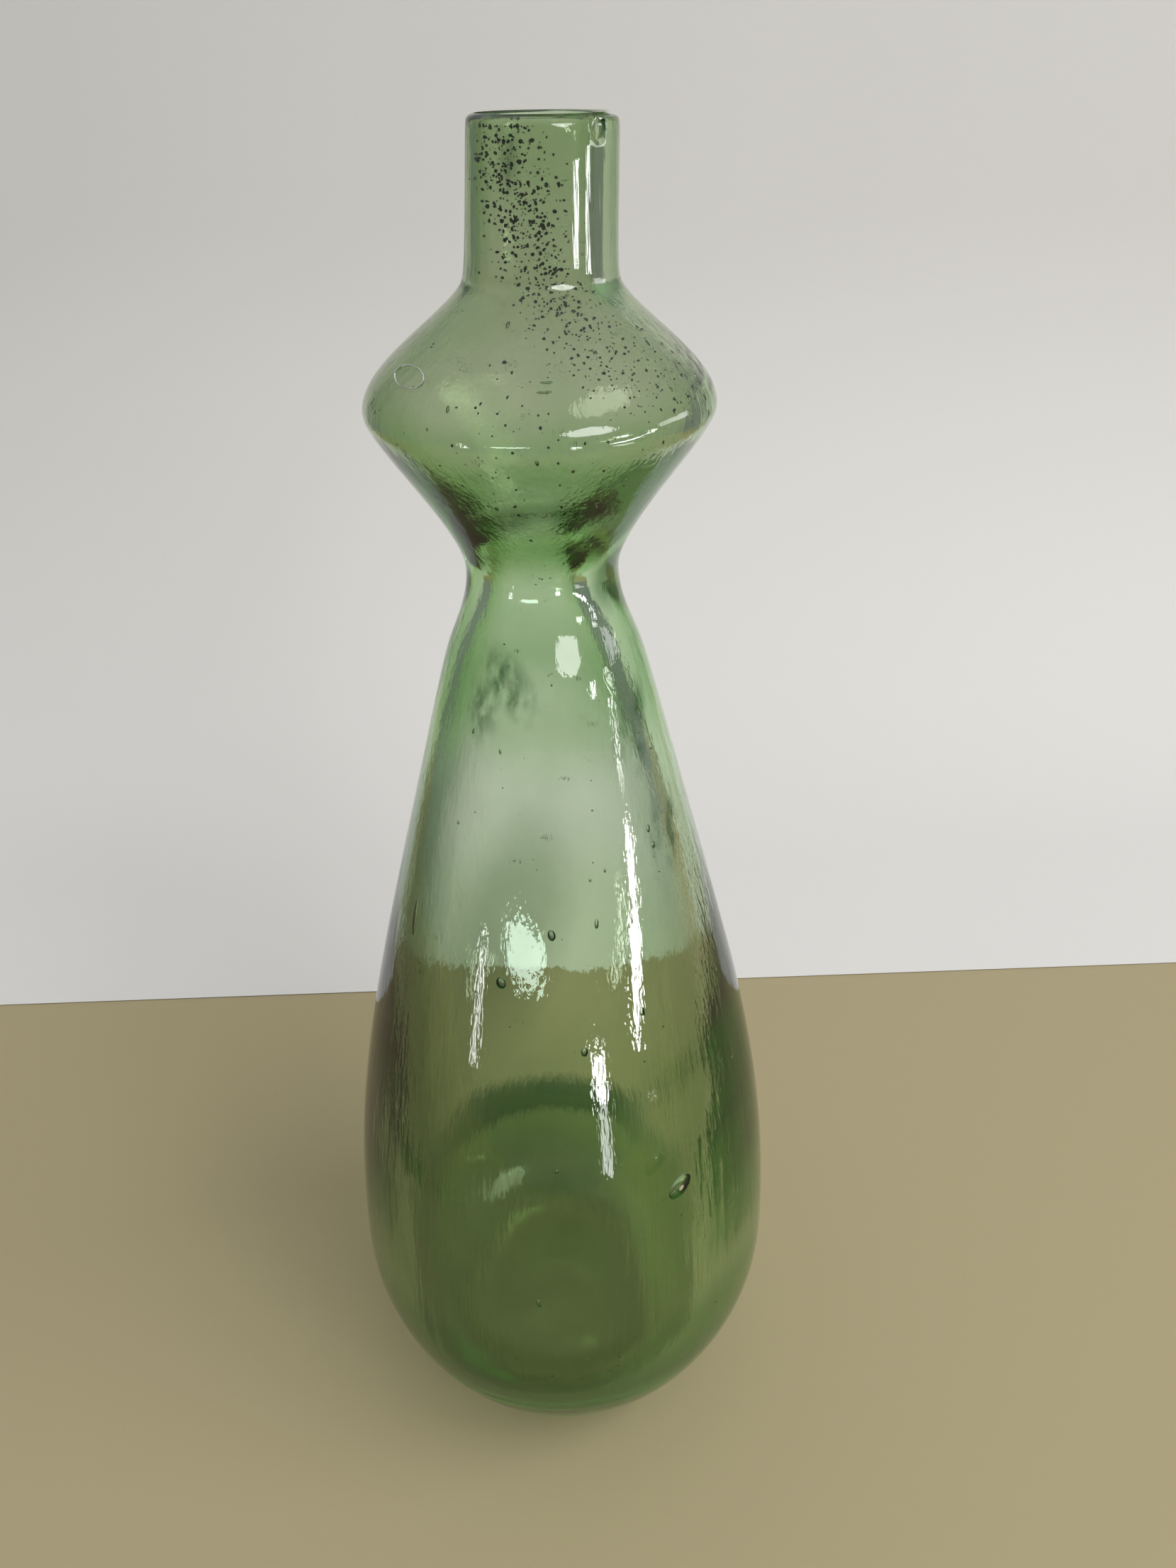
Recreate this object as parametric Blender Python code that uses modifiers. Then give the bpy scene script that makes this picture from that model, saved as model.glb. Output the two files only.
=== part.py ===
# Free-blown green glass shepherd's bottle: a tall flaring body, a pinched
# waist, a hollow bulge under a short straight neck, and thick walls.
# One solid, hollow and open at the lip. Metres, +Z up.
# The origin is on the ground, under the centre of the widest part.
import math

import bmesh
import bpy
import numpy as np

MM = 0.001

# Lengths along the axis, from the ground up
BELLY_RISE = 29.3 * MM
BODY_RISE = 110.3 * MM
LOWER_BULGE_RISE = 19.9 * MM
UPPER_BULGE_RISE = 14.6 * MM
NECK_RISE = 15.9 * MM

# Outer radii
LIP_RADIUS = 8.35 * MM
NECK_RADIUS = 8.6 * MM
BULGE_RADIUS = 21.0 * MM
WAIST_RADIUS = 9.4 * MM
BELLY_RADIUS = 32.3 * MM
FOOT_RADIUS = 16.0 * MM

# The body's sides run straight between these shares of its rise, measured down from the waist
CONE_TOP_SHARE = 0.117
CONE_FOOT_SHARE = 0.389
CONE_SPLAY = math.radians(14.7)
CONE_FOOT_INSET = 11.0 * MM

# Glass, measured level, from the outside to the hollow
LIP_WALL = 1.9 * MM
NECK_WALL = 2.0 * MM
BULGE_WALL = 1.5 * MM
WAIST_WALL = 4.4 * MM
SHOULDER_WALL = 3.8 * MM
MIDDLE_WALL = 2.8 * MM
BELLY_WALL = 6.4 * MM
FLOOR_THICKNESS = 5.6 * MM

# The hollow stands off centre, so the wall on the right is the thicker
FLOOR_SHIFT = 1.2 * MM
LIP_SHIFT = 0.6 * MM

# Underside: a flat ring that the bottle stands on, round a shallow hollow
STAND_WIDTH = 5.0 * MM
KICK_HEIGHT = 1.4 * MM

LIP_ROUND = 0.9 * MM

# How far the hand-blown form strays sideways from a straight axis
WAIST_DRIFT = 0.3 * MM
LIP_DRIFT = 1.3 * MM
NECK_LEAN = math.radians(2.0)

# A flake struck off the front of the lip, to the right
FLAKE_TURN = math.radians(-46)
FLAKE_LENGTH = 3.6 * MM
FLAKE_WIDTH = 2.8 * MM
FLAKE_DEPTH = 0.75 * MM
FLAKE_DROP = 0.9 * MM

TURN_STEPS = 48
CORNER_STEPS = 3

# Levels that follow from the lengths
WAIST_LEVEL = BELLY_RISE + BODY_RISE
CONE_TOP_LEVEL = WAIST_LEVEL - CONE_TOP_SHARE * BODY_RISE
CONE_FOOT_LEVEL = WAIST_LEVEL - CONE_FOOT_SHARE * BODY_RISE
BULGE_LEVEL = WAIST_LEVEL + LOWER_BULGE_RISE
NECK_LEVEL = BULGE_LEVEL + UPPER_BULGE_RISE
HEIGHT = NECK_LEVEL + NECK_RISE


def clear_scene():
    for item in list(bpy.data.objects):
        bpy.data.objects.remove(item, do_unlink=True)
    for group in list(bpy.data.collections):
        bpy.data.collections.remove(group)


def new_collection(name):
    group = bpy.data.collections.new(name)
    bpy.context.scene.collection.children.link(group)
    return group


def curve(start, first_pull, second_pull, end, steps):
    # Points of a cubic curve after its start; a pull is a step from its own end to its guide.
    ends = [np.array(point, dtype=float) for point in (start, end)]
    guides = [ends[0] + np.array(first_pull), ends[1] + np.array(second_pull)]
    points = []
    for step in range(1, steps + 1):
        t = step / steps
        s = 1 - t
        point = s**3 * ends[0] + 3 * s * s * t * guides[0] + 3 * s * t * t * guides[1] + t**3 * ends[1]
        points.append(tuple(point))
    return points


def outer_profile():
    # (radius, height) from the top of the lip down the outside to the middle of the underside.
    points = []
    for step in range(CORNER_STEPS + 1):
        angle = math.pi / 2 * step / CORNER_STEPS
        points.append((LIP_RADIUS - LIP_ROUND * (1 - math.sin(angle)),
                       HEIGHT - LIP_ROUND * (1 - math.cos(angle))))

    neck_foot = (NECK_RADIUS, NECK_LEVEL)
    bulge = (BULGE_RADIUS, BULGE_LEVEL)
    points.append(neck_foot)
    points += curve(neck_foot, (0, -0.22 * UPPER_BULGE_RISE), (0, 0.36 * UPPER_BULGE_RISE), bulge, 8)

    waist = (WAIST_RADIUS, WAIST_LEVEL)
    points += curve(bulge, (0, -0.13 * LOWER_BULGE_RISE), (0, 0.26 * LOWER_BULGE_RISE), waist, 8)

    foot = (BELLY_RADIUS - CONE_FOOT_INSET, CONE_FOOT_LEVEL)
    top = (foot[0] - math.tan(CONE_SPLAY) * (CONE_TOP_LEVEL - CONE_FOOT_LEVEL), CONE_TOP_LEVEL)
    flare = np.array((math.sin(CONE_SPLAY), -math.cos(CONE_SPLAY)))
    reach = 0.38 * (WAIST_LEVEL - CONE_TOP_LEVEL)
    points += curve(waist, (0, -reach), -reach * flare, top, 4)
    points.append(foot)

    belly = (BELLY_RADIUS, BELLY_RISE)
    reach = 0.38 * (CONE_FOOT_LEVEL - BELLY_RISE)
    points += curve(foot, reach * flare, (0, reach), belly, 8)
    stand = (FOOT_RADIUS, 0)
    points += curve(belly, (0, -0.51 * BELLY_RISE), (0.27 * (BELLY_RADIUS - FOOT_RADIUS), 0), stand, 8)

    kick = (FOOT_RADIUS - STAND_WIDTH, 0)
    points.append(kick)
    points += curve(kick, (-0.3 * kick[0], 0.3 * KICK_HEIGHT), (0.5 * kick[0], 0), (0, KICK_HEIGHT), 4)
    return points


def wall_at(height):
    # Level thickness of the glass at a height, smooth between the named walls.
    stations = [(BELLY_RISE, BELLY_WALL),
                (CONE_FOOT_LEVEL, MIDDLE_WALL),
                (CONE_TOP_LEVEL, SHOULDER_WALL),
                (WAIST_LEVEL, WAIST_WALL),
                (BULGE_LEVEL, BULGE_WALL),
                (NECK_LEVEL, NECK_WALL),
                (HEIGHT, LIP_WALL)]
    for (low, low_wall), (high, high_wall) in zip(stations, stations[1:]):
        if low <= height <= high:
            share = (height - low) / (high - low)
            blend = share * share * (3 - 2 * share)
            return low_wall + (high_wall - low_wall) * blend
    return stations[0][1] if height < stations[0][0] else stations[-1][1]


def inner_profile(outer):
    # (radius, height) from the middle of the hollow's floor up the inside to the top of the lip.
    floor = (0, KICK_HEIGHT + FLOOR_THICKNESS)
    belly = (BELLY_RADIUS - BELLY_WALL, BELLY_RISE)
    points = [floor]
    points += curve(floor, (0.78 * belly[0], 0), (0, -0.74 * (BELLY_RISE - floor[1])), belly, 10)
    side = [point for point in reversed(outer) if BELLY_RISE < point[1] < HEIGHT - LIP_ROUND]
    for radius, height in side:
        points.append((radius - wall_at(height), height))
    bore = LIP_RADIUS - LIP_WALL
    for step in range(CORNER_STEPS + 1):
        angle = math.pi / 2 * step / CORNER_STEPS
        points.append((bore + LIP_ROUND * (1 - math.cos(angle)),
                       HEIGHT - LIP_ROUND * (1 - math.sin(angle))))
    return points


def drift_at(height):
    # Sideways stray of the axis at a height.
    waist = (-WAIST_DRIFT, WAIST_LEVEL)
    lip = (LIP_DRIFT, HEIGHT)
    reach = 0.38 * BODY_RISE
    path = [(0, 0), (0, BELLY_RISE)]
    path += curve(path[-1], (0, reach), (0, -reach), waist, 24)
    reach = 0.38 * (HEIGHT - WAIST_LEVEL)
    lean = np.array((math.sin(NECK_LEAN), math.cos(NECK_LEAN)))
    path += curve(waist, (0, reach), -reach * lean, lip, 24)
    return float(np.interp(height, [point[1] for point in path], [point[0] for point in path]))


def stray(mesh, outer):
    # Moves the turned form off its straight axis, and the hollow a little further off its middle.
    heights = [point[1] for point in reversed(outer) if point[1] > KICK_HEIGHT]
    radii = [point[0] for point in reversed(outer) if point[1] > KICK_HEIGHT]
    for vert in mesh.vertices:
        height = vert.co.z
        skin = np.interp(height, heights, radii)
        depth = skin - math.hypot(vert.co.x, vert.co.y)
        if height > KICK_HEIGHT and depth > 0.4 * wall_at(height):
            share = height / HEIGHT
            vert.co.x -= FLOOR_SHIFT + (LIP_SHIFT - FLOOR_SHIFT) * share
        vert.co.x += drift_at(height)


def turned_mesh(profile, name):
    # A full turn of the profile about Z by a Screw modifier, read back as a mesh.
    mesh = bpy.data.meshes.new(name)
    bm = bmesh.new()
    verts = [bm.verts.new((radius, 0, height)) for radius, height in profile]
    for first, second in zip(verts, verts[1:]):
        bm.edges.new((first, second))
    bm.to_mesh(mesh)
    bm.free()
    guide = bpy.data.objects.new(name, mesh)
    bpy.context.scene.collection.objects.link(guide)
    screw = guide.modifiers.new("turn", "SCREW")
    screw.steps = TURN_STEPS
    screw.render_steps = TURN_STEPS
    screw.use_merge_vertices = True
    screw.merge_threshold = 0.00001
    evaluated = guide.evaluated_get(bpy.context.evaluated_depsgraph_get())
    turned = bpy.data.meshes.new_from_object(evaluated)
    bpy.data.objects.remove(guide, do_unlink=True)
    bpy.data.meshes.remove(mesh)
    return turned


def green_glass():
    material = bpy.data.materials.new("green glass")
    material.use_nodes = True
    shader = material.node_tree.nodes["Principled BSDF"]
    shader.inputs["Base Color"].default_value = (0.55, 0.72, 0.45, 1)
    shader.inputs["Roughness"].default_value = 0.03
    shader.inputs["Metallic"].default_value = 0
    shader.inputs["IOR"].default_value = 1.5
    shader.inputs["Transmission Weight"].default_value = 1
    return material


def flake_cutter(group):
    # An egg-shaped cutter that scoops the flake out of the lip's outer edge.
    bpy.ops.mesh.primitive_ico_sphere_add(subdivisions=3, radius=1)
    cutter = bpy.context.object
    cutter.name = "flake_cutter"
    reach = LIP_RADIUS + FLAKE_WIDTH / 2 - FLAKE_DEPTH
    cutter.scale = (FLAKE_WIDTH / 2, FLAKE_WIDTH / 2, FLAKE_LENGTH / 2)
    cutter.rotation_euler = (0, 0, FLAKE_TURN)
    cutter.location = (drift_at(HEIGHT) + reach * math.cos(FLAKE_TURN),
                       reach * math.sin(FLAKE_TURN), HEIGHT - FLAKE_DROP)
    cutter.hide_render = True
    cutter.display_type = "WIRE"
    for home in list(cutter.users_collection):
        home.objects.unlink(cutter)
    group.objects.link(cutter)
    return cutter


def build_bottle(parts, cutters):
    outer = outer_profile()
    mesh = turned_mesh(inner_profile(outer) + outer, "bottle")
    stray(mesh, outer)
    bottle = bpy.data.objects.new("bottle", mesh)
    parts.objects.link(bottle)
    mesh.materials.append(green_glass())
    mesh.shade_smooth()
    mesh.set_sharp_from_angle(angle=math.radians(50))

    flake = bottle.modifiers.new("flake", "BOOLEAN")
    flake.operation = "DIFFERENCE"
    flake.solver = "EXACT"
    flake.object = flake_cutter(cutters)
    return bottle


def main():
    clear_scene()
    parts = new_collection("shepherds bottle")
    cutters = new_collection("cutters")
    build_bottle(parts, cutters)


main()
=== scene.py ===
import math
import random

import bmesh
import bpy
from mathutils import Matrix, Vector, noise


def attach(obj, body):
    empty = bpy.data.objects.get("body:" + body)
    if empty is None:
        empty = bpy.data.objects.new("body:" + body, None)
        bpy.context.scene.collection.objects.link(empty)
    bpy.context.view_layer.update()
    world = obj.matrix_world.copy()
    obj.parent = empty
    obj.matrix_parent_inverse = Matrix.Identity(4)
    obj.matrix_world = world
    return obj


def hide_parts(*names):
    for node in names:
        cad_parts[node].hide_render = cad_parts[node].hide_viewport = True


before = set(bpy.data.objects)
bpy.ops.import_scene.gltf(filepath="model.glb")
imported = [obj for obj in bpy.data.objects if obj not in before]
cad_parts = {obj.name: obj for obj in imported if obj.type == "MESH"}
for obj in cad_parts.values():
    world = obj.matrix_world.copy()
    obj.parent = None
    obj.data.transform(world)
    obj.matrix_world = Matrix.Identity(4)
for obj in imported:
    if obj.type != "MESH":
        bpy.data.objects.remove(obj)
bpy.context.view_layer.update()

mm = 0.001
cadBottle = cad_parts["bottle"]


# The turned form, read back from the solid

def readMeridian(source):
    # Walks the solid's section in the XZ plane and pairs its left side with its right,
    # so each station has a radius, the sideways place of its centre, and a height.
    bm = bmesh.new()
    bm.from_mesh(source.data)
    tiny = 0.002 * mm
    bmesh.ops.remove_doubles(bm, verts=bm.verts, dist=tiny)
    left = {v for v in bm.verts if abs(v.co.y) < tiny}
    here = min(left, key=lambda v: (round(abs(v.co.x) / mm, 2), v.co.z))
    walk = []
    while here:
        left.discard(here)
        walk.append(here)
        near = [e.other_vert(here) for e in here.link_edges if e.other_vert(here) in left]
        here = max(near, key=lambda v: v.co.x) if near else None
    walk = [v.co.copy() for v in walk]
    bm.free()
    top = max(p.z for p in walk) - tiny / 2
    tops = [k for k, p in enumerate(walk) if p.z > top]
    pole = min(range(tops[0], tops[-1]), key=lambda k: walk[k].z)
    rightSide = walk[:pole + 1]
    leftSide = [walk[0]] + walk[:pole - 1:-1]
    stations = []
    for k, other in enumerate(leftSide):
        twins = [p for p in rightSide[max(0, k - 2):k + 3] if abs(p.z - other.z) < 0.01 * mm]
        if twins:
            twin = min(twins, key=lambda p: abs(p.x + other.x))
            centre = (twin.x + other.x) / 2
        else:
            centre = stations[-1][1]
        stations.append((centre - other.x, centre, other.z))
    return stations


stations = readMeridian(cadBottle)
lipIndex = max(range(len(stations)), key=lambda k: stations[k][2])
skinStations = sorted(stations[:lipIndex + 1], key=lambda s: s[2])
hollowStations = sorted(stations[lipIndex + 1:], key=lambda s: s[2])
height = stations[lipIndex][2]
floorLevel = hollowStations[0][2]
print("stations read:", len(stations), "height", round(height / mm, 1), "floor", round(floorLevel / mm, 1))


def stationAt(side, level):
    # Radius and centre of the skin or of the hollow at a height.
    rows = skinStations if side == "skin" else hollowStations
    level = min(max(level, rows[0][2]), rows[-1][2])
    for low, high in zip(rows, rows[1:]):
        if low[2] <= level <= high[2] and high[2] > low[2]:
            share = (level - low[2]) / (high[2] - low[2])
            return low[0] + (high[0] - low[0]) * share, low[1] + (high[1] - low[1]) * share
    return rows[-1][0], rows[-1][1]


# How unevenly the glass was blown

blownForm = {
    "turn steps": 48,
    "smoothing": 2,
    "skin swell": 0.08 * mm,
    "hollow swell": 0.30 * mm,
    "swell length": 32 * mm,
    "skin cord": 0.007 * mm,
    "hollow cord": 0.020 * mm,
    "cord spacing": 3.4 * mm,
    "cord length": 60 * mm,
    # full swells and cords from this distance off the axis
    "full girth": 26 * mm,
    # the foot and the lip are truer: the unevenness starts at the first height and is full over the
    # second, and fades again below the lip to the least share
    "foot fade": (0.4 * mm, 5 * mm),
    "lip fade": 8 * mm,
    "lip share": 0.12,
    # the swells above this height, as a share of the body's, which they come down to over this much
    "calm": {"share": 0.45, "above": 132 * mm, "over": 14 * mm},
    # wrinkles round the neck, which begin at this height and are full a little higher
    "wrinkle": 0.012 * mm,
    "wrinkle spacing": 2.6 * mm,
    "wrinkle from": (166 * mm, 6 * mm),
    # a whorl in the skin: azimuth, height, radius, ring spacing and depth in mm
    "whorl": (-10, 95.5, 7, 2.2, 0.02),
    # lens-like dimples of the hollow: azimuth, height, radius and depth in mm
    "dimples": [(-12, 93.0, 7, 0.35), (24, 98.0, 4, 0.10), (38, 68.0, 8, -0.30), (-42, 60.0, 9, 0.25),
                (-35, 118.0, 8, 0.20), (165, 120.0, 12, 0.30), (-160, 86.0, 10, -0.30)],
}


def risingShare(value, start, span):
    # From 0 at the start to 1 past the span.
    return min(1.0, max(0.0, (value - start) / span))


def unevenness(point, isHollow):
    # How far the surface stands off the turned form here: slow swells, and cords that run up the glass.
    form = blownForm
    offset = 31.7 if isHollow else 0.0
    slow = noise.noise(point / form["swell length"] + Vector((offset, 5.1, 2.3)))
    slow += 0.5 * noise.noise(point / (0.45 * form["swell length"]) + Vector((offset, 1.7, 8.9)))
    stretched = Vector((point.x / form["cord spacing"], point.y / form["cord spacing"],
                        point.z / form["cord length"] + offset))
    cord = noise.noise(stretched) + 0.5 * noise.noise(stretched * 2.1)
    fromAxis = math.hypot(point.x, point.y)
    girth = min(1.0, fromAxis / form["full girth"])
    swell = form["hollow swell"] if isHollow else form["skin swell"]
    cordDepth = form["hollow cord"] if isHollow else form["skin cord"]
    fade = risingShare(point.z, *form["foot fade"])
    fade *= max(form["lip share"], risingShare(height - point.z, 0.0, form["lip fade"]))
    least, above, over = form["calm"]["share"], form["calm"]["above"], form["calm"]["over"]
    calm = least + (1 - least) * risingShare(above - point.z, 0.0, over)
    dimple = 0.0
    if isHollow:
        for azimuth, level, radius, depth in form["dimples"]:
            angle = math.atan2(point.x, -point.y) - math.radians(azimuth)
            off = math.hypot(angle * fromAxis, point.z - level * mm) / (radius * mm)
            if off < 1:
                dimple += depth * mm * (1 - off * off) ** 2
    else:
        azimuth, level, radius, spacing, depth = form["whorl"]
        angle = math.atan2(point.x, -point.y) - math.radians(azimuth)
        off = math.hypot(angle * fromAxis, point.z - level * mm) / mm
        if off < radius:
            dimple += depth * mm * math.cos(math.tau * off / spacing) * (1 - (off / radius) ** 2)
    upper = risingShare(point.z, *form["wrinkle from"]) * fade
    flat = point / form["wrinkle spacing"]
    wrinkle = form["wrinkle"] * noise.noise(Vector((flat.x / 3, flat.y / 3, flat.z + offset)))
    return fade * girth * (calm * swell * slow + cordDepth * cord) + upper * wrinkle + dimple


def wallPoint(side, azimuth, level):
    # A point on the skin or the hollow's wall, azimuth 0 at the front and 90 at the right, and its normal.
    rise = 0.5 * mm
    radius, centre = stationAt(side, level)
    above, below = stationAt(side, level + rise)[0], stationAt(side, level - rise)[0]
    angle = math.radians(azimuth)
    out = Vector((math.sin(angle), -math.cos(angle), 0))
    lean = math.atan2(above - below, 2 * rise)
    normal = (out * math.cos(lean) - Vector((0, 0, math.sin(lean)))).normalized()
    point = out * radius + Vector((centre, 0, level))
    point += normal * unevenness(point, side == "hollow")
    return point, normal


flakeSize = {
    "azimuth": 44,
    "wide": 2.9 * mm,
    "tall": 3.8 * mm,
    "bite": 0.85 * mm,
    # its middle stands this far under the lip, and it leans sideways by this many degrees
    "drop": 0.9 * mm,
    "lean": 14,
    # ripples spread over it from one side: how close and how deep, and a slow unevenness
    "ripples": (9, 0.045),
    "ripple centre": (0.2, -0.4, 1.0),
    "uneven": 0.05,
}


def addFlake(piece):
    # The shell-shaped flake off the lip, cut with a rippled egg.
    flake = flakeSize
    radius, centre = stationAt("skin", height - 2 * mm)
    cutter = bmesh.new()
    bmesh.ops.create_icosphere(cutter, subdivisions=4, radius=1.0)
    often, deep = flake["ripples"]
    for v in cutter.verts:
        ripple = 1 + deep * math.sin(often * (v.co - Vector(flake["ripple centre"])).length)
        ripple += flake["uneven"] * noise.noise(v.co * 2.3)
        v.co *= ripple
    angle = math.radians(flake["azimuth"])
    reach = radius + flake["wide"] / 2 - flake["bite"]
    place = Vector((centre + reach * math.sin(angle), -reach * math.cos(angle), height - flake["drop"]))
    size = Matrix.Diagonal((flake["wide"] / 2, flake["wide"] / 2, flake["tall"] / 2, 1))
    turn = Matrix.Rotation(angle, 4, "Z") @ Matrix.Rotation(math.radians(flake["lean"]), 4, "Y")
    bmesh.ops.transform(cutter, matrix=Matrix.Translation(place) @ turn @ size, verts=cutter.verts)
    mesh = bpy.data.meshes.new("flakeTool")
    cutter.to_mesh(mesh)
    cutter.free()
    tool = bpy.data.objects.new("flakeTool", mesh)
    bpy.context.scene.collection.objects.link(tool)
    cut = piece.modifiers.new("flake", "BOOLEAN")
    cut.operation = "DIFFERENCE"
    cut.solver = "MANIFOLD"
    cut.object = tool
    applyModifiers(piece)
    bpy.data.objects.remove(tool, do_unlink=True)


def applyModifiers(piece):
    # Replaces a piece's mesh by what its modifiers make of it.
    bpy.context.view_layer.update()
    shown = piece.evaluated_get(bpy.context.evaluated_depsgraph_get())
    mesh = bpy.data.meshes.new_from_object(shown)
    piece.modifiers.clear()
    piece.data = mesh


def newPiece(name, bm):
    mesh = bpy.data.meshes.new(name)
    bm.to_mesh(mesh)
    bm.free()
    piece = bpy.data.objects.new(name, mesh)
    bpy.context.scene.collection.objects.link(piece)
    return piece


def makeBottle():
    # Spins the section, smooths it, and lets the glass wander as blown glass does.
    bm = bmesh.new()
    centreLayer = bm.verts.layers.float.new("centre")
    row = []
    for radius, centre, level in stations:
        vert = bm.verts.new((radius, 0, level))
        vert[centreLayer] = centre
        row.append(vert)
    edges = [bm.edges.new(pair) for pair in zip(row, row[1:])]
    bmesh.ops.spin(bm, geom=row + edges, axis=(0, 0, 1), cent=(0, 0, 0), steps=blownForm["turn steps"],
                   angle=math.radians(360), use_merge=True)
    bmesh.ops.remove_doubles(bm, verts=bm.verts, dist=0.004 * mm)
    bmesh.ops.recalc_face_normals(bm, faces=bm.faces)
    for vert in bm.verts:
        vert.co.x += vert[centreLayer]
    piece = newPiece("blownGlass", bm)
    smooth = piece.modifiers.new("smooth", "SUBSURF")
    smooth.levels = blownForm["smoothing"]
    smooth.render_levels = blownForm["smoothing"]
    applyModifiers(piece)

    bm = bmesh.new()
    bm.from_mesh(piece.data)
    bm.normal_update()
    moves = []
    for vert in bm.verts:
        inside = isInside(vert.co)
        move = vert.normal * unevenness(vert.co, inside)
        moves.append(-move if inside else move)
    for vert, move in zip(bm.verts, moves):
        vert.co += move
    bm.to_mesh(piece.data)
    bm.free()
    return piece


def isInside(point):
    # True on the hollow's side of the glass.
    if point.z < 0.5 * floorLevel:
        return False
    skinRadius, skinCentre = stationAt("skin", point.z)
    hollowRadius, hollowCentre = stationAt("hollow", point.z)
    toSkin = abs(math.hypot(point.x - skinCentre, point.y) - skinRadius)
    toHollow = abs(math.hypot(point.x - hollowCentre, point.y) - hollowRadius)
    return toHollow < toSkin


# Seeds and blisters: pockets of air sealed in the wall

seedSizes = {
    "blisters": [
        # azimuth, height in mm, length, width and depth in mm, tilt in degrees, share of the way out
        (33, 57.2, 4.2, 2.7, 1.5, -58, 0.85),
        (-60, 94.0, 5.2, 1.0, 0.6, 4, 0.5),
        (-18, 90.6, 1.6, 1.3, 0.8, 20, 0.6),
        (0, 97.2, 1.5, 1.0, 0.7, 10, 0.5),
        (9, 81.0, 1.3, 0.9, 0.6, 0, 0.5),
        (3, 165.2, 1.3, 0.35, 0.3, 88, 0.5),
        (2, 164.4, 1.6, 0.35, 0.3, 92, 0.5),
    ],
    "small seeds": 90,
    "small size": (0.12 * mm, 0.32 * mm),
    # the heights that small seeds lie at, in mm: the body, or the bulge and the neck's foot
    "small heights": ((20, 126), (146, 172)),
    "small stretch": (1.1, 2.6),
    "small tilt": (-12, 12),
    "small share": (0.35, 0.65),
    # a flat blister whose rim alone shows, sized in mm
    "rim": {"azimuth": -54.5, "level": 164.9, "long": 6.0, "wide": 2.6, "thick": 0.13, "tilt": 84,
            "share": 0.8},
}


def airPocket(bm, azimuth, level, size, tilt, share, detail):
    # An egg of air whose faces point into it, as the hollow's do.
    outer, normal = wallPoint("skin", azimuth, level)
    inner, _ = wallPoint("hollow", azimuth, level)
    place = inner.lerp(outer, share)
    along = Vector((0, 0, 1)) - normal * normal.z
    along.normalize()
    across = normal.cross(along)
    basis = Matrix((along, across, normal)).transposed().to_4x4()
    turn = Matrix.Rotation(math.radians(tilt), 4, "Z")
    made = bmesh.ops.create_icosphere(bm, subdivisions=detail, radius=1.0)["verts"]
    matrix = Matrix.Translation(place) @ basis @ turn @ Matrix.Diagonal((*size, 1))
    bmesh.ops.transform(bm, matrix=matrix, verts=made)


def airRim(bm):
    # A thin ring of air, the first thing in its mesh: a small circle spun round and drawn out to an oval.
    rim = seedSizes["rim"]
    outer, normal = wallPoint("skin", rim["azimuth"], rim["level"] * mm)
    inner, _ = wallPoint("hollow", rim["azimuth"], rim["level"] * mm)
    place = inner.lerp(outer, rim["share"])
    thick = 2 * rim["thick"] / rim["long"]
    upright = Matrix.Translation((1, 0, 0)) @ Matrix.Rotation(math.radians(90), 4, "X")
    loop = bmesh.ops.create_circle(bm, segments=8, radius=thick, matrix=upright)
    around = list({edge for vert in loop["verts"] for edge in vert.link_edges})
    bmesh.ops.spin(bm, geom=loop["verts"] + around, axis=(0, 0, 1), cent=(0, 0, 0), steps=64,
                   angle=math.radians(360), use_merge=True)
    along = (Vector((0, 0, 1)) - normal * normal.z).normalized()
    basis = Matrix((along, normal.cross(along), normal)).transposed().to_4x4()
    turn = Matrix.Rotation(math.radians(rim["tilt"]), 4, "Z")
    size = Matrix.Diagonal((rim["long"] / 2 * mm, rim["wide"] / 2 * mm, rim["long"] / 2 * mm, 1))
    bmesh.ops.transform(bm, matrix=Matrix.Translation(place) @ basis @ turn @ size, verts=bm.verts)


def addSeeds(piece):
    rng = random.Random(11)
    bm = bmesh.new()
    airRim(bm)
    for azimuth, level, length, width, depth, tilt, share in seedSizes["blisters"]:
        size = (length / 2 * mm, width / 2 * mm, depth / 2 * mm)
        airPocket(bm, azimuth, level * mm, size, tilt, share, 4)
    for k in range(seedSizes["small seeds"]):
        azimuth = rng.uniform(-180, 180)
        level = rng.choice([rng.uniform(*span) for span in seedSizes["small heights"]]) * mm
        radius = rng.uniform(*seedSizes["small size"])
        size = (radius * rng.uniform(*seedSizes["small stretch"]), radius, radius * 0.8)
        tilt = rng.uniform(*seedSizes["small tilt"])
        airPocket(bm, azimuth, level, size, tilt, rng.uniform(*seedSizes["small share"]), 2)
    bmesh.ops.recalc_face_normals(bm, faces=bm.faces)
    bmesh.ops.reverse_faces(bm, faces=bm.faces)
    bm.from_mesh(piece.data)
    bm.to_mesh(piece.data)
    bm.free()


# Dirt: dark grains that cling to the hollow's wall, thickest in the neck, and trail over the bulge

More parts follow.
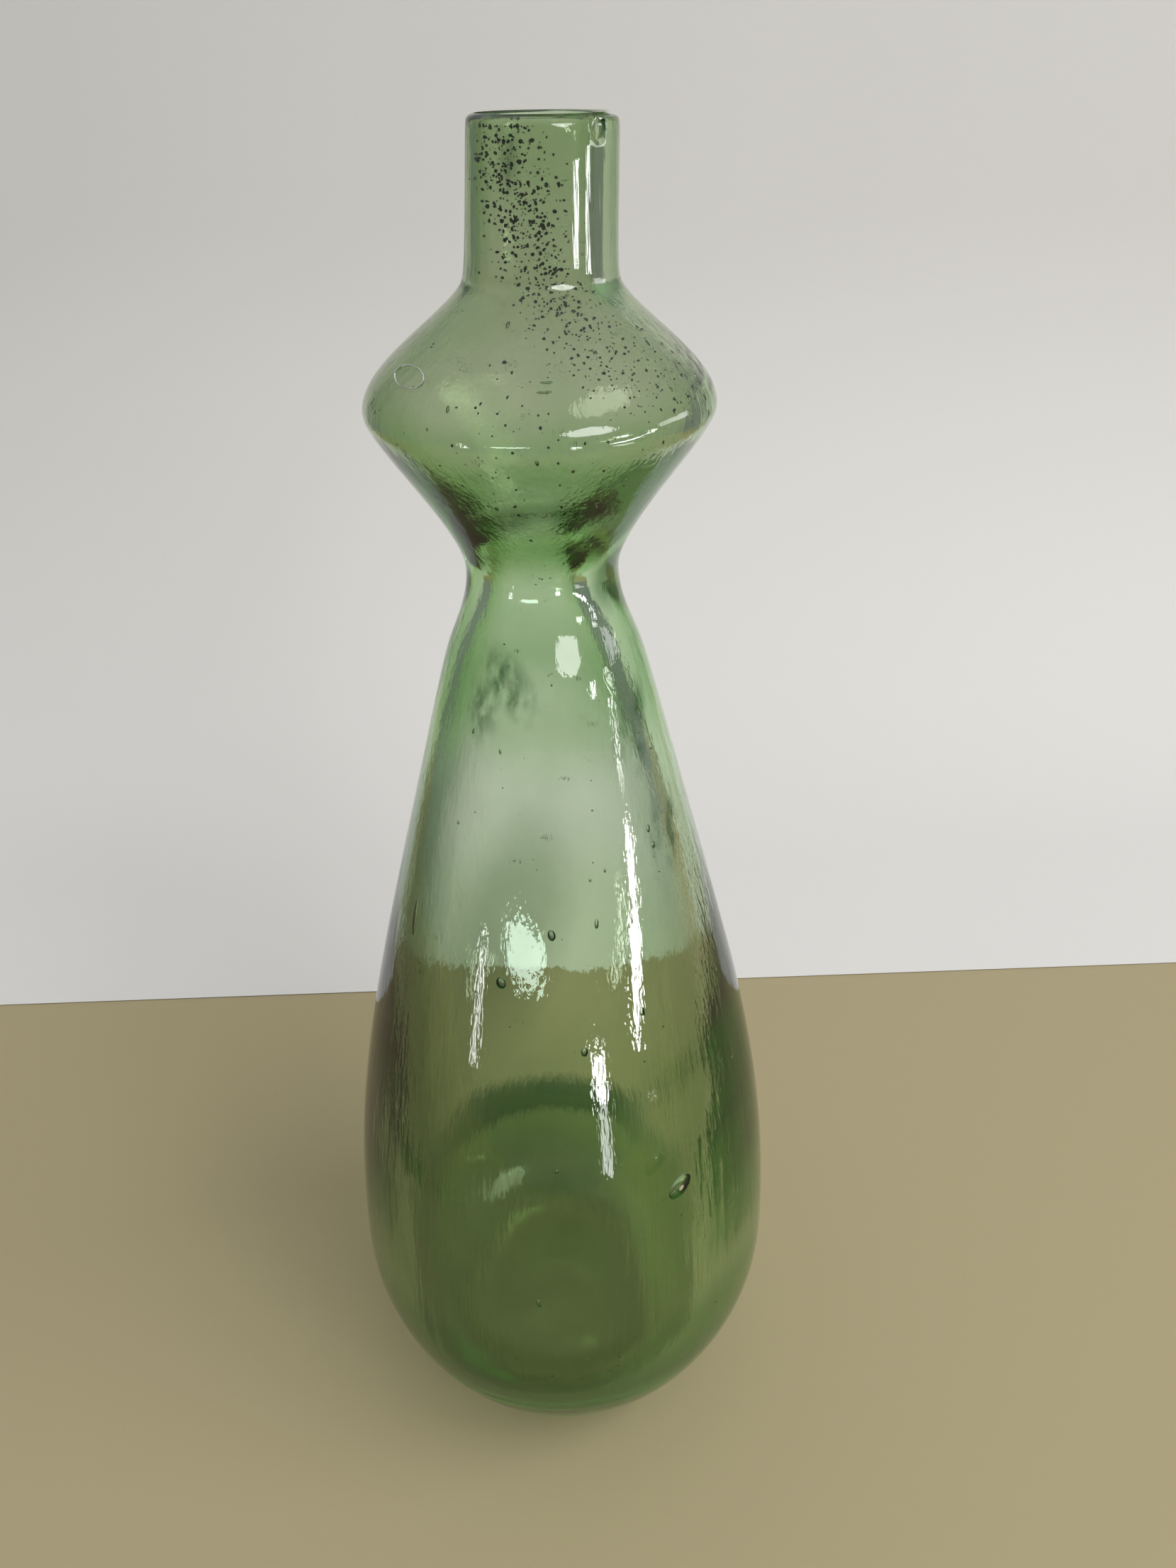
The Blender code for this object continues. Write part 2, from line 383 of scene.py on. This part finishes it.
dirtPatches = [
    # azimuth, height in mm, spread in degrees and mm, number, grain radius in mm
    {"azimuth": -36, "level": 187.2, "spread": (20, 1.4), "count": 110, "grain": (0.06, 0.21)},
    {"azimuth": -24, "level": 183.5, "spread": (20, 2.2), "count": 170, "grain": (0.06, 0.22)},
    {"azimuth": -8, "level": 179.5, "spread": (17, 2.2), "count": 170, "grain": (0.06, 0.21)},
    {"azimuth": 4, "level": 175.3, "spread": (17, 1.8), "count": 110, "grain": (0.06, 0.20)},
    {"azimuth": 16, "level": 171.6, "spread": (15, 1.8), "count": 110, "grain": (0.07, 0.20)},
    {"azimuth": 30, "level": 167.6, "spread": (14, 1.8), "count": 120, "grain": (0.07, 0.19)},
    {"azimuth": 50, "level": 163.6, "spread": (11, 1.6), "count": 70, "grain": (0.07, 0.18)},
    {"azimuth": 0, "level": 160.0, "spread": (60, 6.0), "count": 150, "grain": (0.07, 0.17)},
    {"azimuth": 26, "level": 166.5, "spread": (26, 3.0), "count": 80, "grain": (0.03, 0.10)},
    {"azimuth": 6, "level": 140.5, "spread": (9, 0.6), "count": 9, "grain": (0.06, 0.15)},
    {"azimuth": 0, "level": 110.0, "spread": (60, 26.0), "count": 70, "grain": (0.04, 0.12)},
    {"azimuth": 8, "level": 26.0, "spread": (16, 4.0), "count": 14, "grain": (0.06, 0.14)},
    {"azimuth": 150, "level": 178.0, "spread": (50, 7.0), "count": 80, "grain": (0.04, 0.13)},
]


grainForm = {
    # how a ball is drawn out along the wall, each way, and how thick it is, as shares of its radius
    "long": (0.7, 1.6),
    "wide": (0.7, 1.3),
    "thick": 0.6,
    # how far its middle stands in from the wall, as a share of its radius
    "stand": 0.4,
    # small grains outnumber large ones: the power that the random share is raised to
    "mostly small": 1.5,
    # none lies nearer to the lip than this
    "below lip": 1.2 * mm,
}


def makeDirt():
    form = grainForm
    rng = random.Random(5)
    bm = bmesh.new()
    for patch in dirtPatches:
        for k in range(patch["count"]):
            azimuth = rng.gauss(patch["azimuth"], patch["spread"][0])
            level = min(rng.gauss(patch["level"], patch["spread"][1]) * mm, height - form["below lip"])
            small, large = patch["grain"]
            radius = (small + (large - small) * rng.random() ** form["mostly small"]) * mm
            point, normal = wallPoint("hollow", azimuth, level)
            made = bmesh.ops.create_icosphere(bm, subdivisions=1, radius=radius)["verts"]
            longer, wider = rng.uniform(*form["long"]), rng.uniform(*form["wide"])
            squash = Matrix.Diagonal((longer, wider, form["thick"], 1))
            facing = normal.to_track_quat("Z", "Y").to_matrix().to_4x4()
            spin = Matrix.Rotation(rng.uniform(0, math.tau), 4, "Z")
            inside = point - normal * radius * form["stand"]
            bmesh.ops.transform(bm, matrix=Matrix.Translation(inside) @ facing @ spin @ squash, verts=made)
    return newPiece("dirtGrains", bm)


# Materials

def newMaterial(name):
    material = bpy.data.materials.new(name)
    material.use_nodes = True
    tree = material.node_tree
    return material, tree, tree.nodes["Principled BSDF"]


def addNode(tree, kind, **inputs):
    node = tree.nodes.new(kind)
    for name, value in inputs.items():
        node.inputs[name.replace("_", " ")].default_value = value
    return node


glassLook = {
    "ior": 1.5,
    "absorb colour": (0.79, 0.93, 0.74, 1),
    "absorb density": 100.0,
    "bloom": (0.90, 0.94, 0.88, 1),
    # noise patterns: scale, how much it is drawn out along the bottle, and detail
    "cord pattern": (480.0, 0.07, 3.0),
    "line pattern": (2600.0, 0.03, 2.0),
    "bloom pattern": (110.0, 0.5, 6.0),
    "streak pattern": (700.0, 0.35, 4.0),
    # where each pattern's mask begins and is full
    "bloom range": (0.45, 0.72),
    "streak range": (0.36, 0.56),
    "edge shade range": (0.28, 0.60),
    # painted shade along the grazing edges is full at the left, where less light falls, and this share of it
    # stays at the right, past this reach
    "edge shade at right": 0.55,
    "edge shade reach": 12 * mm,
    # painted shade along the grazing edges: what it lets through, by height in mm
    "edge": [(0, (0.18, 0.30, 0.15, 1)),
             (60, (0.13, 0.20, 0.11, 1)),
             (105, (0.16, 0.24, 0.15, 1)),
             (125, (0.48, 0.78, 0.34, 1)),
             (150, (0.48, 0.78, 0.34, 1)),
             (160, (0.66, 0.80, 0.57, 1)),
             (190, (0.46, 0.62, 0.34, 1))],
    # a film of dirt in the neck, and painted shade about the waist and low on the belly: height in mm, colour
    # that it lets through
    "filmAndShade": [(0, (0.98, 0.99, 0.72, 1)),
             (6.5, (0.98, 0.99, 0.72, 1)),
             (10, (0.68, 0.78, 0.45, 1)),
             (20, (0.68, 0.78, 0.45, 1)),
             (26, (0.86, 0.91, 0.76, 1)),
             (70, (0.80, 0.87, 0.72, 1)),
             (98, (0.92, 0.96, 0.88, 1)),
             (114, (0.94, 0.965, 0.92, 1)),
             (124, (0.62, 0.74, 0.55, 1)),
             (138, (0.82, 0.90, 0.76, 1)),
             (145.5, (0.36, 0.56, 0.29, 1)),
             (150, (0.54, 0.66, 0.46, 1)),
             (155, (0.66, 0.72, 0.57, 1)),
             (170, (0.66, 0.71, 0.57, 1)),
             (190, (0.60, 0.70, 0.50, 1))],
    # dark green of the smears, also used for the painted shade patches, and grey of the painted shadow
    "smear": (0.04, 0.15, 0.04, 1),
    "shade": (0.60, 0.64, 0.58, 1),
    # how deep into the glass each smear's and each painted shade's spot reaches, as its half thickness
    "spot depth": 8 * mm,
    # smears in the glass: azimuth, height in mm, length and width in mm, lean in degrees, strength
    "smears": [(-24, 128.5, 13, 4.4, 38, 0.9),
               (-38, 125.0, 10, 4.0, 8, 0.8),
               (52, 122.0, 16, 4.4, -20, 0.9),
               (57, 107.0, 13, 4.0, -22, 0.9),
               (-27, 186.0, 9, 2.6, 0, 0.45)],
    # painted shade: broad soft patches of the same green where the view crosses the thick waist, and a greyer
    # painted shadow across the front, laid as the smears are
    "shadePatches": [(-17, 149.8, 12, 4.8, -68, 0.55),
                (17, 149.8, 12, 4.8, 68, 0.55),
                (51, 139.5, 10, 7.0, 0, 0.8)],
    "paintedShadows": [(-15, 101.0, 64, 19.0, -17, 0.9)],
    # painted shade on the skin's blue-green heel, for the shaded table seen through it: radius less a share
    # of the height, where it starts and is full
    "heelShade": {"share": 0.55, "faint": 16.5 * mm, "full": 19.0 * mm, "colour": (0.30, 0.55, 0.42, 1)},
    # a painted shadow: a ring of dark green where the hollow turns in at the back, for the bottle's shadow on
    # the table
    # seen through the glass: radius, height, half its height, and how far back it starts and is full
    "arcShadow": {"inside of": 28.4 * mm, "level": 25.6 * mm, "half": 6.0 * mm, "from": 12 * mm,
                  "full": 22 * mm, "colour": (0.12, 0.24, 0.10, 1)},
    "cord bump": 0.06 * mm,
    "line bump": 0.015 * mm,
}


def tintBy(tree, before, colour, factor):
    # Multiplies a colour by another as far as the factor says.
    mix = tree.nodes.new("ShaderNodeMix")
    mix.data_type = "RGBA"
    mix.blend_type = "MULTIPLY"
    if hasattr(colour, "links"):
        tree.links.new(colour, mix.inputs["B"])
    else:
        mix.inputs["B"].default_value = colour
    if hasattr(factor, "links"):
        tree.links.new(factor, mix.inputs["Factor"])
    else:
        mix.inputs["Factor"].default_value = factor
    tree.links.new(before, mix.inputs["A"])
    return mix.outputs["Result"]


def stretchedNoise(tree, place, scale, stretch, detail):
    # Noise drawn out along the bottle's axis.
    mapping = addNode(tree, "ShaderNodeMapping", Scale=(1, 1, stretch))
    pattern = addNode(tree, "ShaderNodeTexNoise", Scale=scale, Detail=detail, Roughness=0.55)
    tree.links.new(place, mapping.inputs["Vector"])
    tree.links.new(mapping.outputs["Vector"], pattern.inputs["Vector"])
    return pattern.outputs["Fac"]


def ranged(tree, value, low, high):
    spread = tree.nodes.new("ShaderNodeMapRange")
    spread.inputs["From Min"].default_value = low
    spread.inputs["From Max"].default_value = high
    tree.links.new(value, spread.inputs["Value"])
    return spread.outputs["Result"]


def rampByHeight(tree, level, stops):
    ramp = tree.nodes.new("ShaderNodeValToRGB")
    ramp.color_ramp.interpolation = "EASE"
    for k, (rise, colour) in enumerate(stops):
        share = rise * mm / height
        stop = ramp.color_ramp.elements[k] if k < 2 else ramp.color_ramp.elements.new(share)
        stop.position = share
        stop.color = colour
    tree.links.new(ranged(tree, level, 0.0, height), ramp.inputs["Fac"])
    return ramp.outputs["Color"]


def times(tree, first, second):
    product = tree.nodes.new("ShaderNodeMath")
    product.operation = "MULTIPLY"
    product.use_clamp = True
    for k, value in enumerate((first, second)):
        if hasattr(value, "links"):
            tree.links.new(value, product.inputs[k])
        else:
            product.inputs[k].default_value = value
    return product.outputs["Value"]


def girthValue(tree, place):
    # Distance from the bottle's axis.
    flat = tree.nodes.new("ShaderNodeVectorMath")
    flat.operation = "MULTIPLY"
    flat.inputs[1].default_value = (1, 1, 0)
    girth = tree.nodes.new("ShaderNodeVectorMath")
    girth.operation = "LENGTH"
    tree.links.new(place, flat.inputs[0])
    tree.links.new(flat.outputs["Vector"], girth.inputs[0])
    return girth.outputs["Value"]


def heelShadeMask(tree, girth, split):
    # Where the painted heel shade lies: the skin from the foot to where the belly is widest, and not the
    # hollow behind it.
    heelShade = glassLook["heelShade"]
    reach = tree.nodes.new("ShaderNodeMath")
    reach.operation = "MULTIPLY_ADD"
    reach.inputs[1].default_value = -heelShade["share"]
    tree.links.new(split.outputs["Z"], reach.inputs[0])
    tree.links.new(girth, reach.inputs[2])
    return ranged(tree, reach.outputs["Value"], heelShade["faint"], heelShade["full"])


def arcShadowMask(tree, girth, split):
    # Where the painted arc shadow lies: a band of the hollow, at the back alone, where it turns in towards
    # the floor.
    ring = glassLook["arcShadow"]
    within = ranged(tree, girth, ring["inside of"] + 0.5 * mm, ring["inside of"])
    under = ranged(tree, split.outputs["Z"], ring["level"] + ring["half"], ring["level"] + 0.4 * ring["half"])
    low = ring["level"] - 0.9 * ring["half"]
    over = ranged(tree, split.outputs["Z"], low, low + 0.3 * ring["half"])
    behind = ranged(tree, split.outputs["Y"], ring["from"], ring["full"])
    return times(tree, times(tree, within, behind), times(tree, under, over))


def smearAndShadeMask(tree, place, smear, streaks):
    # A long soft spot laid on the skin, broken up by streaks.
    azimuth, level, length, width, lean, strength = smear
    point, normal = wallPoint("skin", azimuth, level * mm)
    angle = math.radians(azimuth)
    turned = Matrix.Rotation(math.radians(lean), 3, "Y") @ Matrix.Rotation(-angle, 3, "Z")
    centred = tree.nodes.new("ShaderNodeMapping")
    centred.inputs["Location"].default_value = -point
    turn = tree.nodes.new("ShaderNodeMapping")
    turn.inputs["Rotation"].default_value = turned.to_euler()
    size = tree.nodes.new("ShaderNodeMapping")
    size.inputs["Scale"].default_value = (2 / (width * mm), 1 / glassLook["spot depth"], 2 / (length * mm))
    spot = tree.nodes.new("ShaderNodeTexGradient")
    spot.gradient_type = "SPHERICAL"
    tree.links.new(place, centred.inputs["Vector"])
    tree.links.new(centred.outputs["Vector"], turn.inputs["Vector"])
    tree.links.new(turn.outputs["Vector"], size.inputs["Vector"])
    tree.links.new(size.outputs["Vector"], spot.inputs["Vector"])
    return times(tree, times(tree, ranged(tree, spot.outputs["Fac"], 0.0, 0.6), strength), streaks)


def glassMaterial():
    material, tree, shader = newMaterial("greenGlass")
    links = tree.links
    look = glassLook
    place = tree.nodes.new("ShaderNodeTexCoord").outputs["Object"]

    # Cords and finer drawn lines that run up the glass
    cordBump = addNode(tree, "ShaderNodeBump", Distance=look["cord bump"], Strength=1.0)
    lineBump = addNode(tree, "ShaderNodeBump", Distance=look["line bump"], Strength=1.0)
    links.new(stretchedNoise(tree, place, *look["cord pattern"]), cordBump.inputs["Height"])
    links.new(stretchedNoise(tree, place, *look["line pattern"]), lineBump.inputs["Height"])
    links.new(cordBump.outputs["Normal"], lineBump.inputs["Normal"])
    links.new(lineBump.outputs["Normal"], shader.inputs["Normal"])

    # Dirt film and painted shade by height, a faint bloom, smears, painted shade patches and a painted
    # shadow, painted shade on the heel, the painted arc shadow, and painted shade along the grazing edges
    split = tree.nodes.new("ShaderNodeSeparateXYZ")
    links.new(place, split.inputs["Vector"])
    bloomMask = ranged(tree, stretchedNoise(tree, place, *look["bloom pattern"]), *look["bloom range"])
    colour = tintBy(tree, rampByHeight(tree, split.outputs["Z"], look["filmAndShade"]), look["bloom"], bloomMask)
    streaks = ranged(tree, stretchedNoise(tree, place, *look["streak pattern"]), *look["streak range"])
    for smear in look["smears"]:
        colour = tintBy(tree, colour, look["smear"], smearAndShadeMask(tree, place, smear, streaks))
    # Painted shade patches, and a painted shadow across the front
    for shadePatches, tint in (("shadePatches", "smear"), ("paintedShadows", "shade")):
        for patch in look[shadePatches]:
            colour = tintBy(tree, colour, look[tint], smearAndShadeMask(tree, place, patch, 1.0))
    girth = girthValue(tree, place)
    # Painted shade on the heel
    colour = tintBy(tree, colour, look["heelShade"]["colour"], heelShadeMask(tree, girth, split))
    # Painted arc shadow at the back
    colour = tintBy(tree, colour, look["arcShadow"]["colour"], arcShadowMask(tree, girth, split))
    # Painted shade along the grazing edges, darker at the left, where less light falls
    facing = addNode(tree, "ShaderNodeLayerWeight", Blend=0.5)
    shadeLeftward = tree.nodes.new("ShaderNodeMapRange")
    shadeLeftward.inputs["From Min"].default_value = look["edge shade reach"]
    shadeLeftward.inputs["From Max"].default_value = -look["edge shade reach"]
    shadeLeftward.inputs["To Min"].default_value = look["edge shade at right"]
    links.new(split.outputs["X"], shadeLeftward.inputs["Value"])
    grazing = ranged(tree, facing.outputs["Facing"], *look["edge shade range"])
    edgeShadeMask = times(tree, grazing, shadeLeftward.outputs["Result"])
    colour = tintBy(tree, colour, rampByHeight(tree, split.outputs["Z"], look["edge"]), edgeShadeMask)

    # Light that reaches the glass from the table or the sheet isn't dimmed again by the dirt film and the
    # painted shade
    path = tree.nodes.new("ShaderNodeLightPath")
    clear = tree.nodes.new("ShaderNodeMix")
    clear.data_type = "RGBA"
    clear.inputs["B"].default_value = (1, 1, 1, 1)
    links.new(path.outputs["Diffuse Depth"], clear.inputs["Factor"])
    links.new(colour, clear.inputs["A"])
    links.new(clear.outputs["Result"], shader.inputs["Base Color"])

    shader.inputs["Roughness"].default_value = 0.0
    shader.inputs["Metallic"].default_value = 0.0
    shader.inputs["IOR"].default_value = look["ior"]
    shader.inputs["Transmission Weight"].default_value = 1.0
    absorb = addNode(tree, "ShaderNodeVolumeAbsorption", Color=look["absorb colour"],
                     Density=look["absorb density"])
    links.new(absorb.outputs["Volume"], tree.nodes["Material Output"].inputs["Volume"])
    return material


dirtLook = {
    "dark": (0.010, 0.009, 0.006, 1),
    "pale": (0.045, 0.038, 0.024, 1),
    "mottle scale": 3000.0,
    "roughness": 0.9,
}


def dirtMaterial():
    material, tree, shader = newMaterial("darkDirt")
    mottle = addNode(tree, "ShaderNodeTexNoise", Scale=dirtLook["mottle scale"])
    ramp = tree.nodes.new("ShaderNodeMix")
    ramp.data_type = "RGBA"
    ramp.inputs["A"].default_value = dirtLook["dark"]
    ramp.inputs["B"].default_value = dirtLook["pale"]
    place = tree.nodes.new("ShaderNodeTexCoord").outputs["Object"]
    tree.links.new(place, mottle.inputs["Vector"])
    tree.links.new(mottle.outputs["Fac"], ramp.inputs["Factor"])
    tree.links.new(ramp.outputs["Result"], shader.inputs["Base Color"])
    shader.inputs["Roughness"].default_value = dirtLook["roughness"]
    return material


def plainMaterial(name, colour, roughness):
    material, _, shader = newMaterial(name)
    shader.inputs["Base Color"].default_value = colour
    shader.inputs["Roughness"].default_value = roughness
    shader.inputs["Specular IOR Level"].default_value = 0.15
    return material


# The bottle

blownGlass = makeBottle()
addFlake(blownGlass)
print("glass faces:", len(blownGlass.data.polygons))
addSeeds(blownGlass)
blownGlass.data.materials.clear()
blownGlass.data.materials.append(glassMaterial())
blownGlass.data.shade_smooth()
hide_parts("bottle")
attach(blownGlass, "root")

dirtGrains = makeDirt()
dirtGrains.data.materials.append(dirtMaterial())
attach(dirtGrains, "root")
print("bottle and dirt made")


# The table and the paler sheet that lies behind it and sweeps up far back

stageLook = {
    "half width": 0.36,
    "front": -0.15,
    "back": 0.55,
    # the table stands this far under the bottle, and the sheet this far over the bottle's foot
    "gap": 0.15 * mm,
    "sheet lift": 0.05 * mm,
    "sheet from": 95 * mm,
    # half its width at its near edge and at its far end
    "sheet half width": (0.155, 0.24),
    "bend from": 0.15,
    "bend radius": 0.15,
    "bend steps": 12,
    "sheet height": 0.32,
    "table": (0.385, 0.325, 0.190, 1),
    "sheet": (0.70, 0.68, 0.65, 1),
}


def makeStage():
    look = stageLook
    bm = bmesh.new()
    depth = look["back"] - look["front"]
    middle = Matrix.Translation((0, look["front"] + depth / 2, -look["gap"]))
    shape = Matrix.Diagonal((look["half width"], depth / 2, 1, 1))
    bmesh.ops.create_grid(bm, x_segments=1, y_segments=1, size=1, matrix=middle @ shape)
    floor = newPiece("floor", bm)
    floor.data.materials.append(plainMaterial("tablePaint", look["table"], 0.7))

    bm = bmesh.new()
    reach = look["bend radius"]
    side = [(look["sheet from"], look["sheet lift"])]
    for k in range(look["bend steps"] + 1):
        angle = math.radians(90 * k / look["bend steps"])
        rise = look["sheet lift"] + reach * (1 - math.cos(angle))
        side.append((look["bend from"] + reach * math.sin(angle), rise))
    side.append((look["bend from"] + reach, look["sheet height"]))
    row = [bm.verts.new((-1, y, z)) for y, z in side]
    edges = [bm.edges.new(pair) for pair in zip(row, row[1:])]
    wide = bmesh.ops.extrude_edge_only(bm, edges=edges)["geom"]
    across = [item for item in wide if isinstance(item, bmesh.types.BMVert)]
    bmesh.ops.translate(bm, verts=across, vec=(2, 0, 0))
    near, far = look["sheet half width"]
    for v in bm.verts:
        share = (v.co.y - side[0][0]) / (side[-1][0] - side[0][0])
        v.co.x *= near + (far - near) * share
    backdrop = newPiece("backdrop", bm)
    backdrop.data.shade_smooth()
    backdrop.data.materials.append(plainMaterial("sheetPaint", look["sheet"], 0.8))


makeStage()


# Light: windows at the front and right, a dimmer one at the left, and the room's own soft light

windowLights = [
    # heights and widths in metres; "through" is seen by way of the glass, "lights" falls on table and
    # sheet, "shines" is seen in the skin
    {"name": "softSky", "shape": "ELLIPSE", "azimuth": 62, "distance": 0.7, "low": 0.65, "high": 1.05,
     "wide": 0.8, "lean": 0, "power": 4.6, "through": True, "lights": True, "shines": False},
    {"name": "frontWindow", "shape": "ELLIPSE", "azimuth": 31, "distance": 0.8, "low": 0.34, "high": 0.60,
     "wide": 0.5, "lean": 0, "power": 3.2, "through": False, "lights": True, "shines": True},
    {"name": "rightWindow", "azimuth": 54.5, "distance": 0.75, "low": -0.177, "high": 0.103, "wide": 0.032,
     "lean": -62, "power": 1.5, "through": True, "lights": False, "shines": True},
    {"name": "rightLine", "azimuth": 70, "distance": 0.75, "low": 0.02, "high": 0.22, "wide": 0.015,
     "lean": -50, "power": 0.24, "through": False, "lights": False, "shines": True},
    {"name": "neckWindow", "azimuth": 50, "distance": 0.3, "low": 0.15, "high": 0.172, "wide": 0.026,
     "lean": 0, "power": 0.045, "through": False, "lights": False, "shines": True},
    {"name": "neckLine", "azimuth": 70, "distance": 0.3, "low": 0.14, "high": 0.176, "wide": 0.014,
     "lean": 0, "power": 0.025, "through": False, "lights": False, "shines": True},
    {"name": "farRightWindow", "azimuth": 93, "distance": 0.8, "low": 0.22, "high": 0.32, "wide": 0.36,
     "lean": 0, "power": 0.6, "through": False, "lights": False, "shines": True},
    {"name": "leftWindow", "azimuth": -49, "distance": 0.8, "low": -0.16, "high": -0.04, "wide": 0.035,
     "lean": 0, "power": 0.2, "through": True, "lights": False, "shines": True},
    {"name": "leftGlow", "shape": "ELLIPSE", "azimuth": -20, "distance": 0.75, "low": -0.035, "high": 0.015,
     "wide": 0.36, "lean": 0, "power": 0.6, "colour": (0.78, 1.0, 0.86), "through": False, "lights": False,
     "shines": True},
    {"name": "lowWindow", "azimuth": 21.5, "distance": 0.75, "low": -0.149, "high": -0.093, "wide": 0.085,
     "lean": 0, "power": 0.5, "through": False, "lights": False, "shines": True},
    {"name": "lowerWindow", "azimuth": 22, "distance": 0.75, "low": -0.27, "high": -0.149, "wide": 0.05,
     "lean": 0, "power": 0.22, "through": False, "lights": False, "shines": True},
    {"name": "lowRightWindow", "azimuth": 56, "distance": 0.75, "low": -0.287, "high": -0.188, "wide": 0.18,
     "lean": 0, "power": 0.39, "through": False, "lights": False, "shines": True},
]
# each lamp faces the axis at its own height, kept between these
aimHeights = (0.08, 0.18)
roomLight = {"colour": (0.90, 0.93, 0.95, 1), "level": 0.26, "overhead": 0.75}


def makeLights():
    for each in windowLights:
        lamp = bpy.data.lights.new(each["name"], "AREA")
        lamp.shape = each.get("shape", "RECTANGLE")
        lamp.size, lamp.size_y = each["wide"], each["high"] - each["low"]
        lamp.energy = each["power"]
        lamp.color = each.get("colour", (1, 1, 1))
        holder = bpy.data.objects.new(each["name"], lamp)
        bpy.context.scene.collection.objects.link(holder)
        angle = math.radians(each["azimuth"])
        middle = (each["low"] + each["high"]) / 2
        place = Vector((math.sin(angle) * each["distance"], -math.cos(angle) * each["distance"], middle))
        aim = Vector((0, 0, min(max(middle, aimHeights[0]), aimHeights[1])))
        turn = (aim - place).to_track_quat("-Z", "Y").to_matrix()
        turn = turn @ Matrix.Rotation(math.radians(each["lean"]), 3, "Z")
        holder.location = place
        holder.rotation_euler = turn.to_euler()
        holder.visible_camera = False
        holder.visible_diffuse = each["lights"]
        holder.visible_transmission = each["through"]
        holder.visible_glossy = each["shines"]

    # The room is brighter overhead than at its walls
    world = bpy.data.worlds.new("room")
    world.use_nodes = True
    tree = world.node_tree
    sky = tree.nodes["Background"]
    sky.inputs["Color"].default_value = roomLight["colour"]
    split = tree.nodes.new("ShaderNodeSeparateXYZ")
    tree.links.new(tree.nodes.new("ShaderNodeTexCoord").outputs["Generated"], split.inputs["Vector"])
    rise = tree.nodes.new("ShaderNodeMapRange")
    rise.interpolation_type = "SMOOTHSTEP"
    rise.inputs["To Min"].default_value = roomLight["level"]
    rise.inputs["To Max"].default_value = roomLight["overhead"]
    tree.links.new(split.outputs["Z"], rise.inputs["Value"])
    tree.links.new(rise.outputs["Result"], sky.inputs["Strength"])
    bpy.context.scene.world = world


makeLights()


# Camera: fitted to the outline in the photograph

cameraView = {
    "from axis": 156.1 * mm,
    "above ground": 194.9 * mm,
    "down": 29.1,
    "right": 1.82,
    "roll": -0.94,
    "focal pixels": 1840,
    "frame height pixels": 2212,
    "sensor": 36,
}


def makeCamera():
    view = cameraView
    down, side, roll = (math.radians(view[k]) for k in ("down", "right", "roll"))
    ahead = Vector((math.sin(side) * math.cos(down), math.cos(side) * math.cos(down), -math.sin(down)))
    right = Vector((math.cos(side), -math.sin(side), 0))
    up = right.cross(ahead)
    turned = Matrix((math.cos(roll) * right + math.sin(roll) * up,
                     math.cos(roll) * up - math.sin(roll) * right, -ahead)).transposed()
    lens = bpy.data.cameras.new("camera")
    lens.sensor_width = view["sensor"]
    lens.lens = view["focal pixels"] / view["frame height pixels"] * view["sensor"]
    lens.clip_start = 5 * mm
    camera = bpy.data.objects.new("camera", lens)
    bpy.context.scene.collection.objects.link(camera)
    camera.matrix_world = Matrix.Translation((0, -view["from axis"], view["above ground"])) @ turned.to_4x4()
    bpy.context.scene.camera = camera


makeCamera()
bpy.context.scene.view_settings.view_transform = "Standard"
bpy.context.scene.cycles.max_bounces = 20
bpy.context.scene.cycles.glossy_bounces = 16
bpy.context.scene.cycles.transmission_bounces = 16
